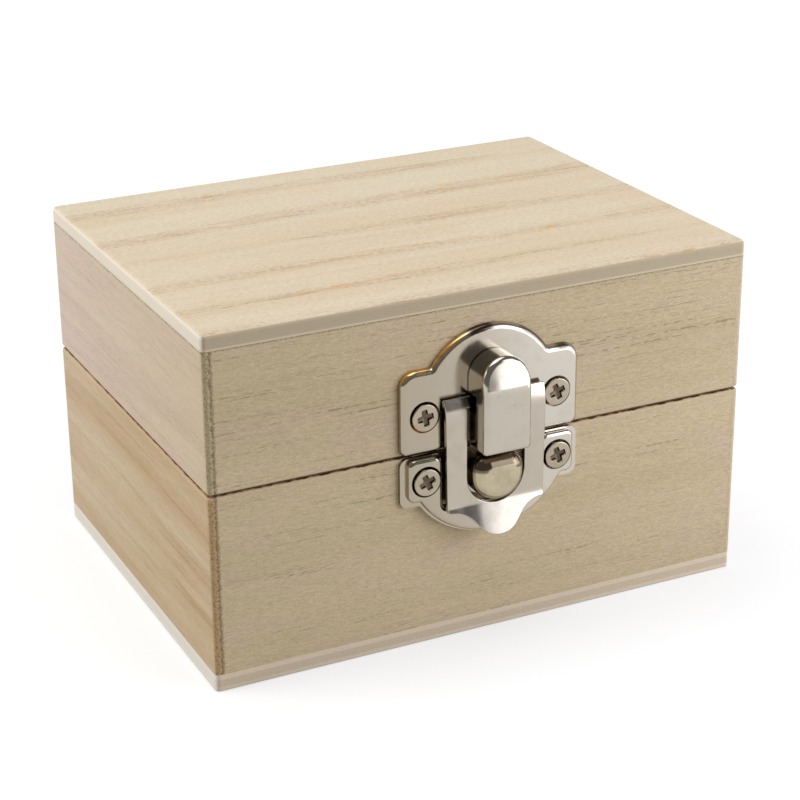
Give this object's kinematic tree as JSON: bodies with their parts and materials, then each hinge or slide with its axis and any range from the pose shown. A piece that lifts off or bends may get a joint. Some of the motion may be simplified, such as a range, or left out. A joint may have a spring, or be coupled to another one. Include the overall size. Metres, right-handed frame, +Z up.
{
  "type": "hinged wooden gift box",
  "caption": "Small closed wooden box with a hinged lid, rebated corners, thin overlaid top and bottom panels and a pressed metal hasp latch on the front.",
  "frame": {"origin": "centre of the flat face that the box stands on", "axes": "X along the long front edge, -Y towards the latch side, +Z up"},
  "size_m": [0.08, 0.0682, 0.05],
  "materials": {
    "board_wood": "unfinished sanded pale hardwood",
    "panel_wood": "unfinished sanded thin panel",
    "nickel": "bright nickel plate on pressed steel",
    "screw_steel": "nickel plated steel screws",
    "hinge_nickel": "nickel plate on pressed steel"
  },
  "bodies": {
    "base": {"base_front_board": "board_wood", "base_back_board": "board_wood", "base_left_board": "board_wood", "base_right_board": "board_wood", "bottom_panel": "panel_wood", "left_hinge_base_leaf": "hinge_nickel", "right_hinge_base_leaf": "hinge_nickel", "left_hinge_pin": "hinge_nickel", "right_hinge_pin": "hinge_nickel", "hinge_lower_screws": "screw_steel", "latch_lower_plate": "nickel", "latch_catch": "nickel", "latch_lower_screws": "screw_steel"},
    "lid": {"lid_front_board": "board_wood", "lid_back_board": "board_wood", "lid_left_board": "board_wood", "lid_right_board": "board_wood", "top_panel": "panel_wood", "left_hinge_lid_leaf": "hinge_nickel", "right_hinge_lid_leaf": "hinge_nickel", "hinge_upper_screws": "screw_steel", "latch_upper_plate": "nickel", "latch_hood": "nickel", "latch_upper_screws": "screw_steel"},
    "hasp": {"latch_hasp": "nickel"}
  },
  "joints": [
    {"name": "lid_hinge", "type": "hinge", "parent": "base", "child": "lid", "pos_m": [0, 0.0312, 0.02815], "axis": [-1, 0, 0], "range_deg": [0, 180]},
    {"name": "hasp_swing", "type": "hinge", "parent": "lid", "child": "hasp", "pos_m": [0, -0.03215, 0.03495], "axis": [-1, 0, 0], "range_deg": [0, 175]}
  ]
}
